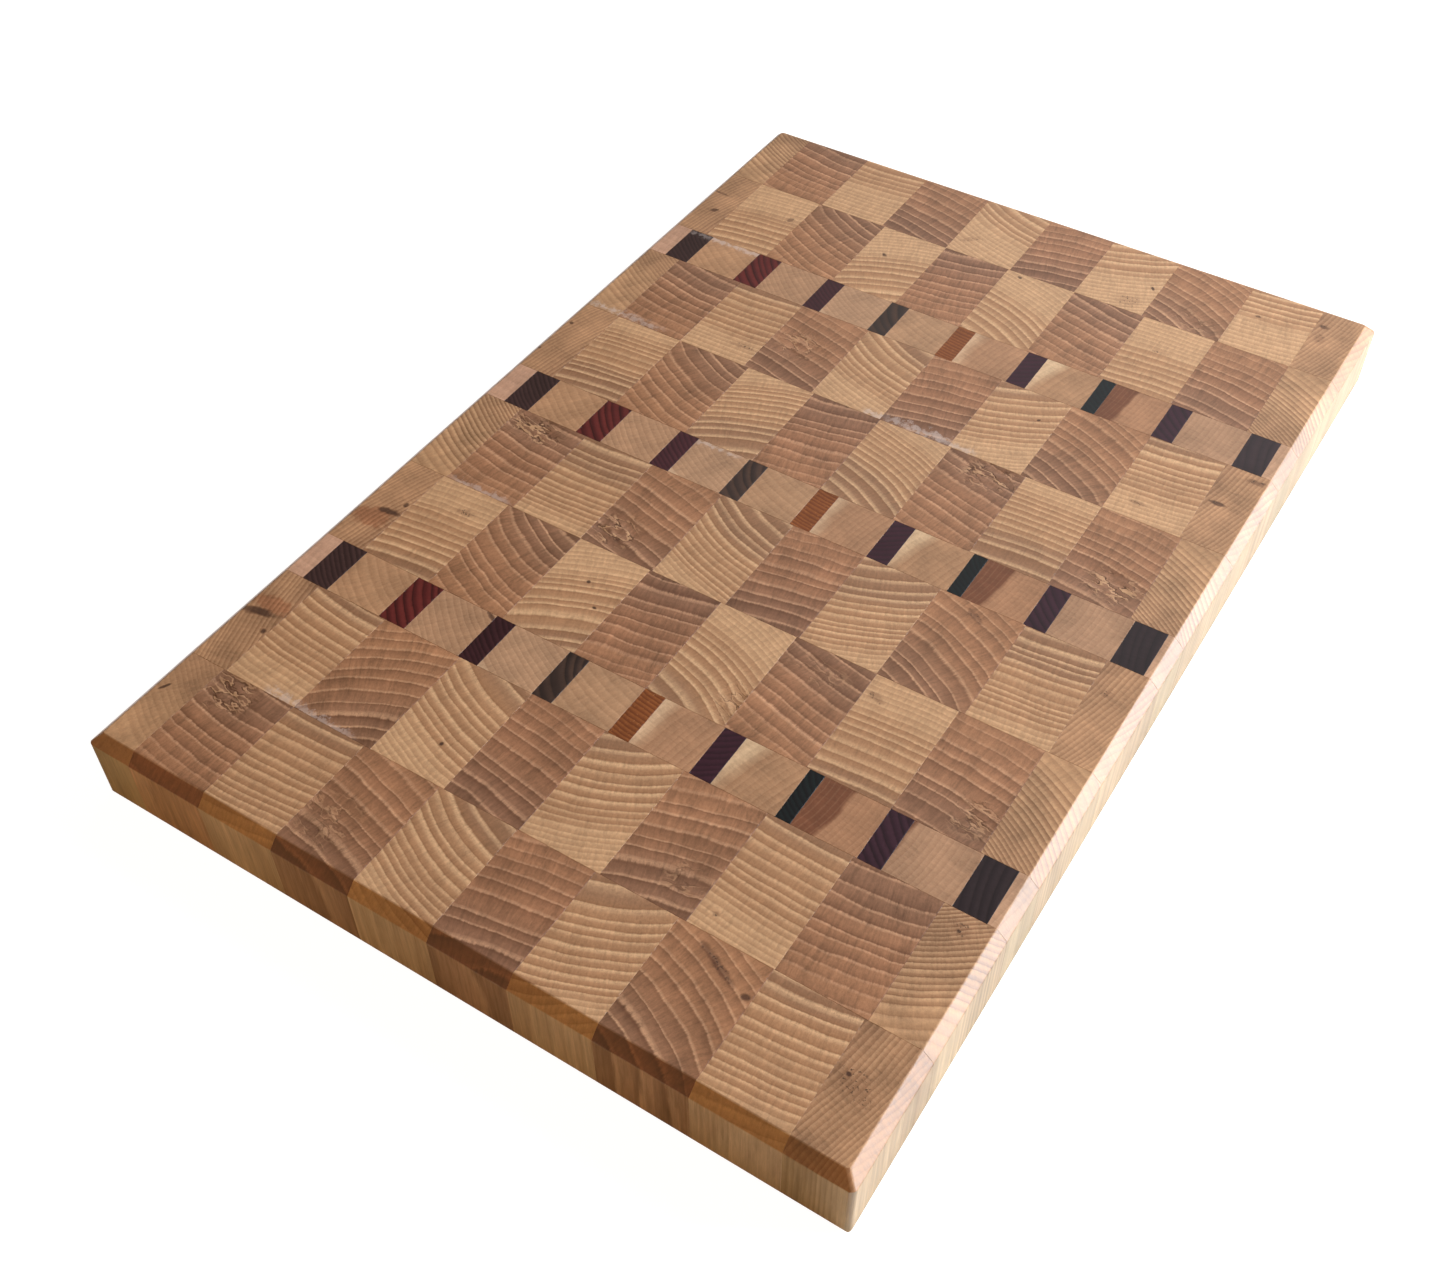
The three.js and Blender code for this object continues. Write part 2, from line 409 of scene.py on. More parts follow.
class Graph:
    """Short names for building a material's nodes."""

    def __init__(self, name):
        self.material = bpy.data.materials.new(name)
        self.material.use_nodes = True
        self.nodes = self.material.node_tree.nodes
        self.links = self.material.node_tree.links
        self.nodes.clear()

    def put(self, socket, value):
        """Links an output to the socket, or sets a constant on it."""
        if isinstance(value, bpy.types.NodeSocket):
            self.links.new(value, socket)
        elif value is not None:
            socket.default_value = value

    def node(self, kind, inputs=None, **settings):
        made = self.nodes.new(kind)
        for key, value in settings.items():
            setattr(made, key, value)
        for key, value in (inputs or {}).items():
            self.put(made.inputs[key], value)
        return made

    def math(self, operation, a, b=None, c=None, clamp=False):
        made = self.node("ShaderNodeMath", operation=operation, use_clamp=clamp)
        for socket, value in zip(made.inputs, (a, b, c)):
            self.put(socket, value)
        return made.outputs[0]

    def vector(self, operation, a, b=None, scale=None):
        made = self.node("ShaderNodeVectorMath", operation=operation)
        self.put(made.inputs[0], a)
        self.put(made.inputs[1], b)
        if scale is not None:
            self.put(made.inputs["Scale"], scale)
        return made.outputs["Value" if operation == "LENGTH" else "Vector"]

    def mix(self, factor, a, b, blend="MIX"):
        made = self.node("ShaderNodeMix", data_type="RGBA", blend_type=blend)
        made.clamp_factor = True
        self.put(made.inputs["Factor"], factor)
        colours = [s for s in made.inputs if s.type == "RGBA"]
        self.put(colours[0], a)
        self.put(colours[1], b)
        return [s for s in made.outputs if s.type == "RGBA"][0]

    def noise(self, vector, scale, detail=2.0, roughness=0.5, output="Factor"):
        made = self.node(
            "ShaderNodeTexNoise",
            {"Vector": vector, "Scale": scale, "Detail": detail, "Roughness": roughness},
        )
        return made.outputs[0] if output == "Factor" else made.outputs["Color"]

    def ramp(self, factor, stops):
        """A smooth curve through (position, value) stops."""
        made = self.node("ShaderNodeValToRGB", {"Fac": factor})
        made.color_ramp.interpolation = "EASE"
        while len(made.color_ramp.elements) < len(stops):
            made.color_ramp.elements.new(0.5)
        for element, (position, value) in zip(made.color_ramp.elements, stops):
            element.position = position
            element.color = (value, value, value, 1)
        return made.outputs["Color"]

    def step(self, value, low, high):
        """0 below low, 1 above high, smooth between; falling if low is above high."""
        made = self.node(
            "ShaderNodeMapRange",
            {"Value": value, "From Min": low, "From Max": high, "To Min": 0.0, "To Max": 1.0},
            interpolation_type="SMOOTHSTEP",
        )
        return made.outputs["Result"]

    def attribute(self, name):
        return self.node("ShaderNodeAttribute", attribute_name=name).outputs["Vector"]

    def parts(self, vector):
        return self.node("ShaderNodeSeparateXYZ", {"Vector": vector}).outputs

    def joined(self, x, y, z):
        return self.node("ShaderNodeCombineXYZ", {"X": x, "Y": y, "Z": z}).outputs["Vector"]

    def surface(self, **inputs):
        """Ends the material in one shader. Its inputs are written with _ for each space."""
        named = {key.replace("_", " "): value for key, value in inputs.items()}
        shader = self.node("ShaderNodeBsdfPrincipled", named)
        self.node("ShaderNodeOutputMaterial", {"Surface": shader.outputs["BSDF"]})


# What a wood looks like, where MATERIALS says nothing else. base is the plain wood, line the
# pale start of each ring, late its dark end, heart and sap the wood towards and away from the
# pith. The amounts are shares, widths are shares of a ring, and heart_soft is in mm. side and
# the chamfer factor multiply the colour on the upright sides and on the chamfer. The chamfer's
# darkening is partly the oil its end grain soaks up and partly painted shade.
LOOK = {
    "base": colour(170, 133, 102),
    "line": colour(213, 181, 145),
    "late": colour(144, 106, 76),
    "heart": colour(127, 97, 78),
    "sap": colour(195, 162, 128),
    "line_amount": 0.58,
    "late_amount": 0.45,
    "heart_amount": 0.6,
    "sap_amount": 0.6,
    "sap_fade": 0.4,
    "line_width": 0.19,
    "heart_soft": 3.0,
    "wave": 1.0,
    "uneven": 1.4,
    "jitter": 0.4,
    "jag": 0.08,
    "rays": 0.7,
    "mottle": 0.25,
    "pores": 0.7,
    "streaks": 1.0,
    "side": (0.94, 1.14, 1.46),
    # the chamfer's factor: partly soaked-in oil, partly painted shade
    "slope": (0.85, 0.73, 0.52),
    "flecks": 0.0,
    "fleck": colour(200, 150, 100),
    "roughness": 0.42,
}
ALONG_FIBRE = 0.08  # the figure is drawn out along the fibres by this
ACROSS_RAYS = 0.12  # and the rays, outwards from the pith, by this
ON_SIDES = 0.25  # how much of the pale lines is left on the upright sides
SAP_SOFT = 3.0  # mm over which sapwood starts, each way
# What marks are coloured with. STAIN_TINT multiplies the wood's colour. In torn grain the first
# colour is painted shade in the creases and the second a painted highlight on the lips.
CREASE_SHADE, LIP_HIGHLIGHT = colour(66, 40, 28), colour(212, 174, 136)
KNOT_STAIN, KNOT_GRIT = colour(108, 60, 42), colour(58, 42, 36)
STAIN_TINT = (0.87, 0.71, 0.66)
DRIED_GLUE = colour(200, 190, 188)
# Below, places are in mm, so a noise scale of 0.1 makes shapes about 10 mm across. The two
# numbers of a step are where it starts and where it ends.


def cloud(g, vector, scale, detail=2.0, roughness=0.5):
    """A noise vector about zero."""
    made = g.noise(vector, scale, detail, roughness, "Color")
    return g.vector("SUBTRACT", made, (0.5, 0.5, 0.5))


def swing(g, vector, scale, detail=2.0, roughness=0.5):
    """A noise value about zero."""
    return g.math("SUBTRACT", g.noise(vector, scale, detail, roughness), 0.5)


def pushed(g, vector, by, amount):
    """The vector moved by a share of another."""
    return g.vector("ADD", vector, g.vector("SCALE", by, scale=amount))


def product(g, *factors):
    """All the factors multiplied."""
    total = factors[0]
    for factor in factors[1:]:
        total = g.math("MULTIPLY", total, factor)
    return total


def mark_reach(g, kind, ragged, amount):
    """The distance from a mark's centre, 1 at its edge, and the mark's last number."""
    own = g.attribute(kind)
    edge = g.parts(pushed(g, own, ragged, amount))
    return g.vector("LENGTH", g.joined(edge["X"], edge["Y"], 0.0)), g.parts(own)["Z"]


def ring_figure(g, look, squeezed, tear):
    """Where each place lies among the rings. They wander, most where the grain is torn."""
    zone = g.parts(g.attribute("zone"))
    ring = g.parts(g.attribute("ring"))
    warped = pushed(g, squeezed, cloud(g, squeezed, 0.045), 2 * look["wave"])
    warped = pushed(g, warped, cloud(g, squeezed, 0.9, 2, 0.6), look["jitter"])
    torn_swirl = g.math("MULTIPLY", tear, 5.0)
    warped = pushed(g, warped, cloud(g, squeezed, 0.16, 3, 0.65), torn_swirl)
    w = g.parts(warped)
    reach = g.vector("LENGTH", g.joined(w["X"], w["Y"], 0.0))
    out = g.math("SUBTRACT", reach, zone["X"])
    tangent = g.math("MULTIPLY", g.math("ARCTAN2", w["Y"], w["X"]), zone["X"])
    ray_frame = g.joined(tangent, g.math("MULTIPLY", reach, ACROSS_RAYS), w["Z"])
    rays = swing(g, ray_frame, 1.0, 3, 0.75)

    spacing, growth = ring["X"], ring["Y"]
    grown = g.math("SUBTRACT", g.math("EXPONENT", g.math("MULTIPLY", out, growth)), 1.0)
    even = g.math("DIVIDE", grown, g.math("MULTIPLY", spacing, growth))
    years = g.joined(g.math("MULTIPLY", reach, 0.13), g.math("MULTIPLY", w["Z"], 0.2), 0.0)
    count = g.math("MULTIPLY_ADD", swing(g, years, 1.0, 1), look["uneven"], even)
    count = g.math("MULTIPLY_ADD", rays, look["jag"], count)
    year = g.joined(g.math("FLOOR", count), zone["X"], spacing)
    chance = g.node("ShaderNodeTexWhiteNoise", {"Vector": year}, noise_dimensions="3D")
    return {
        "out": out,
        "rays": rays,
        "phase": g.math("FRACT", count),
        "chance": chance.outputs["Value"],
        "contrast": ring["Z"],
        "heart_edge": zone["Y"],
        "sap_edge": zone["Z"],
    }


def upward(g):
    """1 on the top and the underside, 0 on the upright sides."""
    return g.math("ABSOLUTE", g.parts(g.node("ShaderNodeTexCoord").outputs["Normal"])["Z"])


def ring_parts(g, look, phase):
    """The pale line that a ring starts with, and the dark wood that it ends with."""
    width = look["line_width"]
    pale = [
        (0.0, 0.75),
        (0.3 * width, 1.0),
        (width, 0.55),
        (2.2 * width, 0.0),
        (0.9, 0.0),
        (1.0, 0.75),
    ]
    dark = [(0.0, 0.35), (width, 0.0), (0.35, 0.15), (0.7, 0.6), (0.88, 1.0), (1.0, 0.35)]
    level = g.math("MULTIPLY_ADD", g.step(upward(g), 0.5, 0.95), 1.0 - ON_SIDES, ON_SIDES)
    return product(g, g.ramp(phase, pale), level), g.ramp(phase, dark)


def heart_and_sap(g, look, squeezed, figure):
    """How much each place is heartwood and sapwood. Their edges wander by a few mm."""
    drift = g.math("MULTIPLY", swing(g, squeezed, 0.06), 7.0)
    place = g.math("ADD", figure["out"], drift)
    heart_full = g.math("SUBTRACT", figure["heart_edge"], look["heart_soft"])
    heart_none = g.math("ADD", figure["heart_edge"], look["heart_soft"])
    sap_none = g.math("SUBTRACT", figure["sap_edge"], SAP_SOFT)
    sap_full = g.math("ADD", figure["sap_edge"], SAP_SOFT)
    return g.step(place, heart_none, heart_full), g.step(place, sap_none, sap_full)


def ring_tone(g, look, squeezed, figure, pores, tear):
    """The wood's colour, from its zones and then its rings, whose contrast differs a little."""
    line, late = ring_parts(g, look, figure["phase"])
    heart, sap = heart_and_sap(g, look, squeezed, figure)
    kept = g.math("SUBTRACT", 1.0, g.math("MULTIPLY", sap, look["sap_fade"]))
    each = g.math("MULTIPLY_ADD", figure["chance"], 0.6, 0.7)
    contrast = product(g, figure["contrast"], kept, each)

    tone = g.mix(g.math("MULTIPLY", sap, look["sap_amount"]), look["base"], look["sap"])
    tone = g.mix(g.math("MULTIPLY", heart, look["heart_amount"]), tone, look["heart"])
    darker = g.mix(0.5, g.mix(1.0, tone, look["late"], "MULTIPLY"), look["late"])
    tone = g.mix(product(g, late, look["late_amount"], contrast), tone, darker)
    dotted = g.math("MULTIPLY_ADD", pores, 1.8, 1.0, clamp=True)
    clear = g.math("SUBTRACT", 1.0, g.math("MULTIPLY", tear, 0.7))
    tone = g.mix(product(g, line, look["line_amount"], contrast, dotted, clear), tone, look["line"])
    return tone, line


def sides_tone(g, look, tone, squeezed):
    """The chamfer is darker than the top, partly from the oil it drinks and partly as painted
    shade. Long grain on the sides is light and streaky.
    """
    facing = upward(g)
    sloping = g.step(facing, 0.95, 0.75)
    long_grain = g.step(facing, 0.6, 0.2)
    # The chamfer's factor is partly soaked-in oil and partly painted shade.
    tone = g.mix(sloping, tone, g.vector("MULTIPLY", tone, look["slope"]))
    side = tuple(a / b for a, b in zip(look["side"], look["slope"]))
    tone = g.mix(long_grain, tone, g.vector("MULTIPLY", tone, side))
    streaks = swing(g, g.vector("MULTIPLY", squeezed, (1.0, 1.0, 0.25)), 1.0, 3, 0.75)
    shade = g.math("MULTIPLY_ADD", product(g, streaks, long_grain), look["streaks"], 1.0)
    return g.vector("SCALE", tone, scale=shade)


def torn_tone(g, tone, place, tear):
    """Torn grain: painted shade in thin creases, beside painted highlights on their lips."""
    folds = g.noise(g.vector("MULTIPLY", place, (1.6, 0.5, 1.0)), 0.22, 2, 0.55)
    crease_gap = g.math("ABSOLUTE", g.math("SUBTRACT", folds, 0.5))
    lip_gap = g.math("ABSOLUTE", g.math("SUBTRACT", folds, 0.545))
    crease = g.math("MULTIPLY", g.step(crease_gap, 0.03, 0.004), tear)
    lip_highlight = g.math("MULTIPLY", g.step(lip_gap, 0.04, 0.008), tear)
    # Painted shade in the creases, then a painted highlight on the lips.
    tone = g.mix(g.math("MULTIPLY", crease, 0.85), tone, CREASE_SHADE)
    return g.mix(g.math("MULTIPLY", lip_highlight, 0.6), tone, LIP_HIGHLIGHT), crease


def knot_tone(g, tone, kind, squeezed, ragged):
    """A knot is a stain full of dark grit. A broken one is nearly all grit."""
    distance, broken = mark_reach(g, kind, ragged, 1.1)
    inside = g.step(distance, 1.0, 0.4)
    sparse = g.math("MULTIPLY_ADD", broken, 0.07, 0.52)
    grit = g.step(g.noise(squeezed, 1.2, 2, 0.6), sparse, g.math("ADD", sparse, 0.06))
    grit = g.mix(broken, (1, 1, 1, 1), grit)
    stain = g.math("MULTIPLY_ADD", broken, -0.4, 0.5)
    tone = g.mix(g.math("MULTIPLY", inside, stain), tone, KNOT_STAIN)
    return g.mix(product(g, inside, grit, 0.85), tone, KNOT_GRIT)


def stain_tone(g, tone, ragged):
    """A reddish stain with a ragged edge."""
    distance, strength = mark_reach(g, "stain", ragged, 1.3)
    inside = g.math("MULTIPLY", g.step(distance, 1.0, 0.55), strength)
    return g.mix(inside, tone, g.vector("MULTIPLY", tone, STAIN_TINT))


def smear_tone(g, tone, squeezed):
    """Dried glue and wax left along a joint."""
    own = g.parts(g.attribute("smear"))
    ends = g.step(g.math("ABSOLUTE", own["X"]), 1.0, 0.5)
    patches = g.math("MULTIPLY", swing(g, squeezed, 0.5, 4, 0.75), 5.0)
    rim = g.math("ADD", g.math("ABSOLUTE", own["Y"]), patches)
    smear = product(g, g.step(rim, 0.9, 0.1), ends, own["Z"])
    return g.mix(g.math("MULTIPLY", smear, 0.5), tone, DRIED_GLUE), smear


def wood(name, **changes):
    """End grain and long grain of one wood, from the frame each piece of it carries."""
    look = dict(LOOK, **changes)
    g = Graph(name)
    squeezed = g.vector("MULTIPLY", g.attribute("grain"), (1.0, 1.0, ALONG_FIBRE))
    ragged = cloud(g, squeezed, 0.35, 3, 0.6)
    tear_reach, tear_strength = mark_reach(g, "tear", ragged, 0.9)
    tear = g.math("MULTIPLY", g.step(tear_reach, 1.0, 0.35), tear_strength)
    figure = ring_figure(g, look, squeezed, tear)
    pores = swing(g, squeezed, 1.1, 3, 0.8)
    mottle = swing(g, squeezed, 0.09)

    tone, line = ring_tone(g, look, squeezed, figure, pores, tear)
    tone = sides_tone(g, look, tone, squeezed)
    shade = g.math("MULTIPLY_ADD", figure["rays"], look["rays"], 1.0)
    shade = g.math("MULTIPLY_ADD", mottle, look["mottle"], shade)
    shade = g.math("MULTIPLY_ADD", pores, look["pores"], shade)
    shade = g.math("MULTIPLY_ADD", g.math("SUBTRACT", figure["chance"], 0.5), 0.08, shade)
    tone = g.vector("SCALE", tone, scale=shade)
    tone = g.vector("MULTIPLY", tone, g.attribute("tint"))
    if look["flecks"]:
        flecks = g.step(g.noise(squeezed, 1.1, 3, 0.7), 0.62, 0.7)
        tone = g.mix(g.math("MULTIPLY", flecks, look["flecks"]), tone, look["fleck"])
    tone, crease = torn_tone(g, tone, pushed(g, squeezed, ragged, 2.0), tear)
    tone = stain_tone(g, tone, ragged)
    for kind in ("knot", "spot"):
        tone = knot_tone(g, tone, kind, squeezed, ragged)
    tone, smear = smear_tone(g, tone, squeezed)

    rough = g.math("MULTIPLY_ADD", pores, 0.25, look["roughness"])
    rough = g.math("MULTIPLY_ADD", line, 0.08, rough)
    rough = g.math("MULTIPLY_ADD", smear, 0.2, rough)
    height = g.math("MULTIPLY_ADD", pores, 0.5, g.math("MULTIPLY", figure["rays"], 0.6))
    height = g.math("MULTIPLY_ADD", line, -0.35, height)
    height = g.math("MULTIPLY_ADD", crease, -2.0, height)
    bump = g.node("ShaderNodeBump", {"Strength": 0.6, "Distance": 0.05 * MM, "Height": height})
    g.surface(
        Base_Color=tone,
        Roughness=rough,
        IOR=1.47,
        Normal=bump.outputs["Normal"],
        Coat_Weight=0.12,
        Coat_Roughness=0.3,
    )
    return g.material


def dark_wood(name, base, line, late, **changes):
    """A dense dark inlay wood with faint close rings, from three screen colours."""
    settings = {
        "base": colour(*base),
        "line": colour(*line),
        "late": colour(*late),
        "heart_amount": 0.0,
        "sap_amount": 0.0,
        "line_amount": 0.5,
        "late_amount": 0.5,
        "side": (1.1, 1.1, 1.1),
        "slope": (1.0, 1.0, 1.0),
        "roughness": 0.4,
        "line_width": 0.3,
        "wave": 1.4,
        "rays": 0.4,
        "mottle": 0.6,
        "pores": 0.4,
    }
    settings.update(changes)
    return wood(name, **settings)


MATERIALS = {
    "light_hardwood": wood("light_hardwood"),
    "dark_hardwood": wood(
        "dark_hardwood",
        base=colour(154, 114, 87),
        line=colour(195, 157, 127),
        late=colour(111, 77, 59),
        heart=colour(128, 97, 79),
        sap=colour(160, 119, 90),
        line_width=0.09,
        line_amount=0.62,
        late_amount=0.54,
        heart_amount=0.7,
        heart_soft=9.0,
        sap_amount=0.6,
        sap_fade=0.3,
        side=(1.38, 1.65, 2.0),
        slope=(0.68, 0.48, 0.4),
        wave=1.8,
        jag=0.15,
        rays=1.2,
        mottle=0.7,
    ),
    "edge_hardwood": wood(
        "edge_hardwood",
        base=colour(165, 127, 97),
        line=colour(196, 160, 126),
        late=colour(128, 92, 68),
        heart=colour(140, 104, 80),
        sap=colour(173, 135, 103),
        line_width=0.25,
        line_amount=0.5,
        late_amount=0.7,
        heart_amount=0.5,
        sap_amount=0.5,
        side=(0.93, 1.17, 1.34),
        slope=(0.78, 0.65, 0.52),
        jitter=0.3,
        rays=0.6,
        mottle=1.0,
    ),
    "maple_spacer": wood(
        "maple_spacer",
        base=colour(163, 127, 99),
        line=colour(180, 146, 118),
        late=colour(138, 100, 74),
        heart=colour(98, 56, 38),
        sap=colour(206, 180, 150),
        line_width=0.12,
        line_amount=0.15,
        late_amount=0.25,
        side=(0.75, 0.93, 0.92),
        slope=(0.62, 0.5, 0.36),
        heart_amount=0.85,
        heart_soft=0.8,
        sap_amount=0.8,
        wave=1.2,
        rays=0.6,
        mottle=0.7,
        pores=0.6,
    ),
    "black_inlay": dark_wood("black_inlay", (54, 37, 38), (68, 49, 48), (36, 25, 28)),
    "red_inlay": dark_wood("red_inlay", (87, 31, 32), (106, 44, 40), (44, 15, 18), late_amount=0.7),
    "plum_inlay": dark_wood("plum_inlay", (56, 26, 34), (70, 38, 44), (36, 14, 24)),
    "charcoal_inlay": dark_wood(
        "charcoal_inlay", (56, 43, 40), (96, 72, 58), (34, 30, 31), mottle=1.0, line_amount=0.3
    ),
    "orange_inlay": dark_wood(
        "orange_inlay",
        (122, 68, 34),
        (146, 90, 50),
        (92, 48, 24),
        flecks=0.35,
        fleck=colour(190, 138, 96),
    ),
    "purple_inlay": dark_wood("purple_inlay", (50, 21, 36), (60, 29, 43), (37, 14, 27)),
    "teal_inlay": dark_wood("teal_inlay", (8, 12, 18), (17, 32, 33), (4, 6, 11)),
    "violet_inlay": dark_wood(
        "violet_inlay", (49, 23, 38), (59, 34, 46), (28, 12, 23), late_amount=0.6
    ),
    "jet_inlay": dark_wood("jet_inlay", (40, 30, 35), (56, 43, 43), (31, 25, 30), line_amount=0.25),
}

# ---------------------------------------------------------------- marks on single pieces


def at(span, across, from_back):
    """A place on a piece, as shares of its width from the left and of its depth from the back."""
    x0, x1, y0, y1 = span
    return (x0 + (x1 - x0) * across, y1 - (y1 - y0) * from_back)


# For a row and stick: how much of the stick's ring contrast is left there.
FAINT_RINGS = {(1, 0): 0.25, (6, 0): 0.6}

# For each row and stick: kind, across and from the back as shares of the block, half length
# and half width in mm, degrees and strength. Spots are a piece's second knot. For both, the last
# number isn't strength but how far they break up into specks.
BLOCK_MARKS = {
    (1, 0): [("knot", 0.38, 0.35, 2.6, 0.7, 60, 0.1)],
    (1, 1): [("tear", 0.28, 0.14, 12, 9, -20, 0.8)],
    (1, 3): [("tear", 0.30, 0.62, 12, 13, 0, 0.35)],
    (1, 7): [("knot", 0.55, 0.16, 9.6, 1.5, -27, 0.5), ("spot", 0.94, 0.27, 1.6, 1.2, 0, 0.2)],
    (1, 9): [("knot", 0.35, 0.42, 8.0, 4.5, -35, 1.0), ("spot", 0.2, 0.38, 1.0, 0.8, 0, 0.0)],
    (2, 9): [
        ("knot", 0.5, 0.44, 7.5, 1.9, 11, 0.1),
        ("spot", 0.9, 0.57, 1.1, 1.4, 0, 0.1),
        ("stain", 0.6, 0.33, 7.5, 3.6, 0, 1.0),
    ],
    (2, 8): [("smear", 0.85, 0.98, 9, 2.2, 0, 0.8)],
    (2, 7): [("smear", 0.35, 0.985, 14, 1.8, 0, 0.7)],
    (2, 6): [("spot", 0.6, 0.7, 0.8, 0.8, 0, 0.0)],
    (2, 3): [("tear", 0.75, 0.75, 8, 9, 0, 0.4)],
    (2, 2): [("knot", 0.2, 0.85, 1.6, 1.0, 0, 0.7)],
    (2, 0): [("knot", 0.4, 0.12, 4.0, 2.4, 0, 0.9)],
    (3, 9): [
        ("knot", 0.76, 0.56, 5.0, 1.9, 10, 0.1),
        ("spot", 0.92, 0.43, 1.1, 1.3, 0, 0.2),
        ("stain", 0.58, 0.68, 7.5, 4.8, 0, 1.0),
    ],
    (3, 8): [("knot", 0.65, 0.25, 4.2, 1.6, 10, 0.8)],
    (3, 6): [("knot", 0.5, 0.35, 0.9, 0.8, 0, 0.0), ("spot", 0.8, 0.55, 0.9, 0.7, 0, 0.0)],
    (3, 4): [("tear", 0.92, 0.78, 7, 9, 0, 0.6)],
    (3, 3): [("tear", 0.5, 0.2, 12, 7, 0, 0.35)],
    (3, 2): [("knot", 0.15, 0.2, 3.6, 1.5, -20, 0.8)],
    (3, 1): [("tear", 0.78, 0.78, 9, 8, 0, 0.6)],
    (4, 1): [("tear", 0.38, 0.16, 13, 8, 0, 0.9), ("smear", 0.5, 0.985, 14, 1.6, 0, 0.7)],
    (4, 3): [("tear", 0.28, 0.78, 10, 9, 0, 0.9)],
    (4, 7): [("knot", 0.5, 0.12, 4.8, 1.3, -30, 0.6)],
    (4, 9): [("knot", 0.3, 0.3, 2.5, 1.6, 0, 0.9)],
    (5, 9): [("knot", 0.3, 0.3, 1.0, 0.9, 0, 0.2), ("spot", 0.2, 0.73, 1.0, 0.9, 0, 0.2)],
    (5, 3): [("tear", 0.62, 0.15, 12, 8, 0, 0.9)],
    (5, 1): [("tear", 0.62, 0.76, 11, 8, 0, 0.9)],
    (6, 0): [("smear", 0.7, 0.955, 9, 2.0, 0, 0.9)],
    (6, 1): [("smear", 0.2, 0.95, 15, 2.0, 0, 0.7)],
    (6, 2): [("knot", 0.75, 0.78, 7.0, 1.6, 0, 0.9)],
    (6, 3): [("tear", 0.38, 0.5, 12, 9, -15, 0.55)],
    (6, 4): [("smear", 0.9, 0.97, 5, 1.8, 0, 0.9)],
    (6, 5): [("smear", 0.55, 0.95, 15, 2.6, 0, 0.9)],
    (6, 6): [("knot", 0.75, 0.31, 0.9, 0.7, 60, 0.0), ("smear", 0.1, 0.97, 8, 1.6, 0, 0.8)],
    (6, 8): [("knot", 0.35, 0.81, 3.6, 1.4, 0, 0.8)],
    (6, 9): [("knot", 0.6, 0.09, 4.5, 1.5, 0, 0.6), ("spot", 0.25, 0.48, 3.4, 1.3, 0, 0.2)],
    (7, 9): [("knot", 0.62, 0.62, 2.0, 1.4, 30, 0.2), ("spot", 0.4, 0.34, 4.2, 0.8, -5, 0.6)],
    (7, 8): [("knot", 0.84, 0.38, 1.4, 1.7, 0, 0.5)],
    (7, 6): [("knot", 0.33, 0.4, 1.3, 0.9, -40, 0.3)],
    (7, 4): [("spot", 0.22, 0.06, 1.2, 0.8, -40, 0.2)],
    (7, 2): [("knot", 0.5, 0.41, 4.0, 1.0, 0, 0.9)],
    (8, 4): [("knot", 0.2, 0.76, 5.0, 1.6, 40, 0.9)],
    (8, 6): [("knot", 0.9, 0.58, 1.3, 0.7, -60, 0.0), ("spot", 0.72, 0.86, 5.5, 4.0, 0, 0.97)],
    (8, 7): [("tear", 0.62, 0.85, 8, 7, 0, 0.5)],
    (8, 8): [("knot", 0.28, 0.47, 1.2, 0.9, 0, 0.4)],
    (8, 9): [("knot", 0.15, 0.31, 2.2, 1.3, 0, 0.4), ("spot", 0.2, 0.5, 2.4, 3.2, 0, 0.8)],
}


def marks_of(span, rows):
    """The marks named for a piece, and the relief of its top where the grain is torn."""
    marks = {}
    relief = None
    for kind, across, from_back, length, width, degrees, strength in rows:
        local = ellipse(at(span, across, from_back), length, width, degrees, strength)
        marks[kind] = local
        if kind == "tear":
            relief = torn_relief(local, strength)
    return marks, relief


TEAR_DEPTH = 0.22  # how deep torn grain lies on the whole, in mm
TEAR_SWING = 0.36  # and how much its hollows add to that


def torn_relief(local, strength):
    """How deep the torn grain's hollows go, in mm. They fade out over the mark's outer half."""

    def depth(x, y):
        u, v, _ = local(x, y)
        share = min(1.0, max(0.0, 1.0 - math.hypot(u, v)) * 2.0)
        rough = noise.fractal(Vector((x * 0.2, y * 0.5, 3.0)), 0.8, 2.0, 3)
        return strength * share * (TEAR_DEPTH + TEAR_SWING * max(-0.6, min(1.0, rough)))

    return depth


# ---------------------------------------------------------------- rows of blocks


def extent(node):
    """The low and high corners of a CAD solid, in mm."""
    low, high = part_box(node)
    return low / MM, high / MM


def row_edges(row, widths):
    """Where the ten pieces of a row meet, from the board's left edge to its right one."""
    edges = [LEFT, LEFT + FIRST_EDGE[row - 1]]
    for width in widths:
        edges.append(edges[-1] + width)
    edges.append(RIGHT)
    return edges


